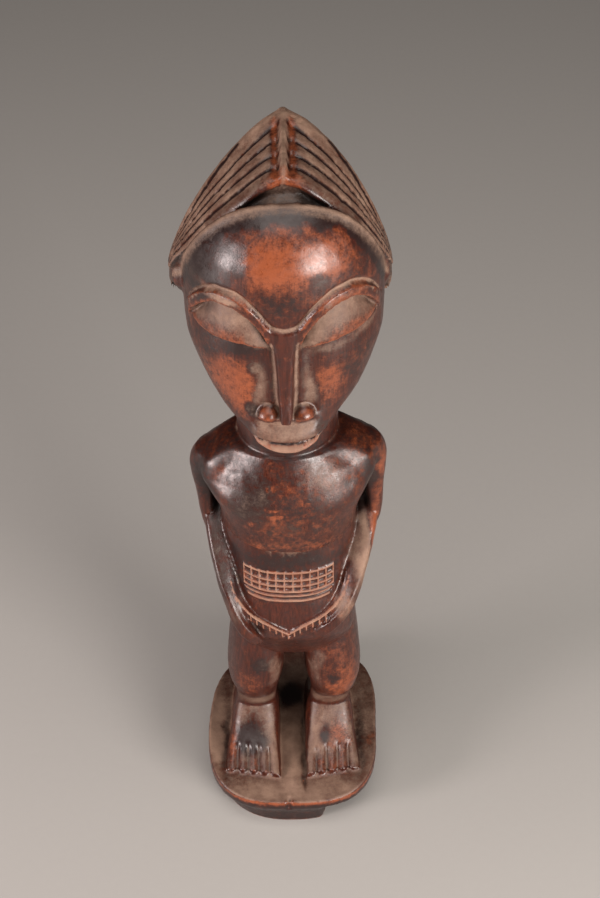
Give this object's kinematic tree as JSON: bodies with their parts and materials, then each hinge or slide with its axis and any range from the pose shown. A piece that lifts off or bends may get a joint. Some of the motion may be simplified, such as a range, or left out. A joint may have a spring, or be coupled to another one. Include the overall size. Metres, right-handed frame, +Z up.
{
  "type": "carved figure",
  "caption": "Standing ancestor figure carved with its rounded plinth from one block of hardwood: crested ribbed hair, long heart-shaped face, hands in a V on the belly.",
  "frame": {"origin": "on the plinth's flat underside, on the figure's own vertical axis", "axes": "+Z up along the figure, -Y the way the figure faces, +X to the right of a viewer who faces the figure"},
  "size_m": [0.0722, 0.0803, 0.3011],
  "materials": {
    "figure": "dark oiled hardwood, handled to a soft gloss, dusty in the recesses"
  },
  "bodies": {
    "root": {"figure": "figure"}
  },
  "joints": []
}
